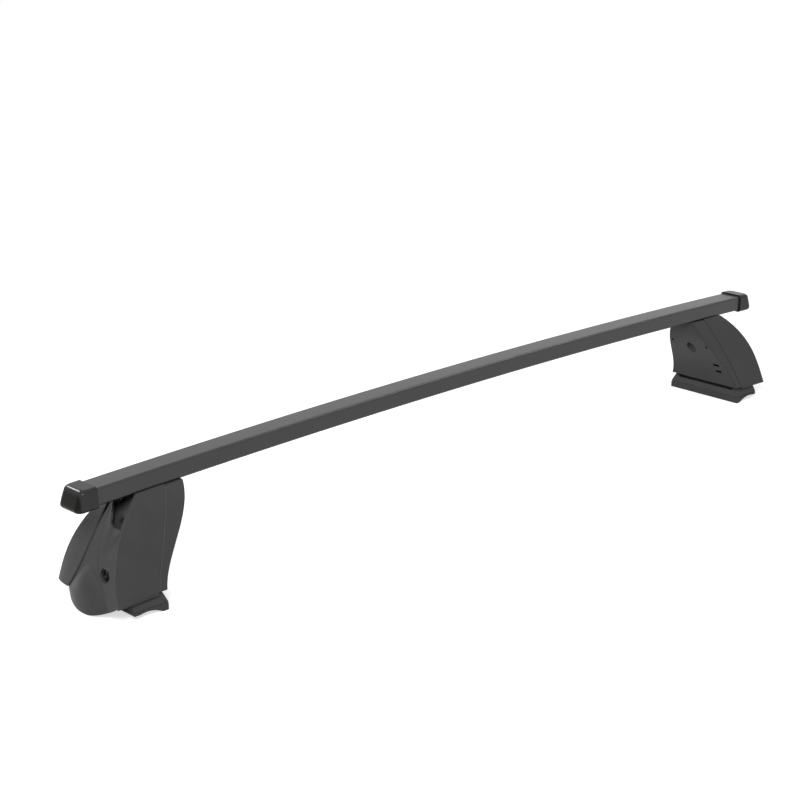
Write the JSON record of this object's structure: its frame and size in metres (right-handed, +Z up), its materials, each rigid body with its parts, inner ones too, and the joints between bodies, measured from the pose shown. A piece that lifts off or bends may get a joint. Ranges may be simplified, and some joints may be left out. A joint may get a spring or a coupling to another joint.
{
  "type": "roof rack crossbar",
  "caption": "Arched rectangular steel roof bar on moulded feet with swinging lock covers, pads and clamp bolts.",
  "frame": {"origin": "on the roof plane under the middle of the bar", "axes": "+X along the bar to the picture's far end, +Y to the back, +Z up"},
  "size_m": [1.1518, 0.115, 0.146],
  "materials": {
    "bar_steel": "satin black",
    "cap_plastic": "gloss black",
    "moulding": "fine grain",
    "rubber": "matte",
    "steel": "zinc plated",
    "lock": "dull chrome"
  },
  "bodies": {
    "crossbar": {"crossbar_tube": "bar_steel", "left_end_cap": "cap_plastic", "right_end_cap": "cap_plastic"},
    "left_foot": {"left_foot_body": "moulding", "left_side_housing": "moulding", "left_cover_hinge_pin": "steel", "left_base_carrier": "moulding", "left_roof_pad": "rubber", "left_steel_plate": "steel", "left_roof_screw": "steel", "left_roof_washer": "steel", "left_clamp_bolt": "steel", "left_clamp_washer": "steel", "left_nut_plate": "steel", "left_housing_screws": "steel"},
    "left_cover": {"left_lock_cover": "moulding", "left_lock_sleeve": "lock"},
    "left_lock": {"left_lock_barrel": "lock", "left_lock_cam": "steel"},
    "right_foot": {"right_foot_body": "moulding", "right_side_housing": "moulding", "right_cover_hinge_pin": "steel", "right_base_carrier": "moulding", "right_roof_pad": "rubber", "right_steel_plate": "steel", "right_roof_screw": "steel", "right_roof_washer": "steel", "right_clamp_bolt": "steel", "right_clamp_washer": "steel", "right_nut_plate": "steel", "right_housing_screws": "steel"},
    "right_cover": {"right_lock_cover": "moulding", "right_lock_sleeve": "lock"},
    "right_lock": {"right_lock_barrel": "lock", "right_lock_cam": "steel"}
  },
  "joints": [
    {"name": "left_foot_slide", "type": "slide", "parent": "crossbar", "child": "left_foot", "axis": [-0.9996, 0, -0.0298], "range_m": [-0.015, 0.015]},
    {"name": "left_cover_swing", "type": "hinge", "parent": "left_foot", "child": "left_cover", "pos_m": [-0.506, 0.0092, 0.10906], "axis": [0, 1, 0], "range_deg": [0, 35]},
    {"name": "left_lock_turn", "type": "hinge", "parent": "left_cover", "child": "left_lock", "pos_m": [-0.545, -0.0286, 0.0466], "axis": [1, 0, 0], "range_deg": [0, 90]},
    {"name": "right_foot_slide", "type": "slide", "parent": "crossbar", "child": "right_foot", "axis": [0.9996, 0, -0.0298], "range_m": [-0.015, 0.015]},
    {"name": "right_cover_swing", "type": "hinge", "parent": "right_foot", "child": "right_cover", "pos_m": [0.506, 0.0092, 0.10906], "axis": [0, -1, 0], "range_deg": [0, 35]},
    {"name": "right_lock_turn", "type": "hinge", "parent": "right_cover", "child": "right_lock", "pos_m": [0.545, -0.0286, 0.0466], "axis": [1, 0, 0], "range_deg": [0, 90]}
  ]
}
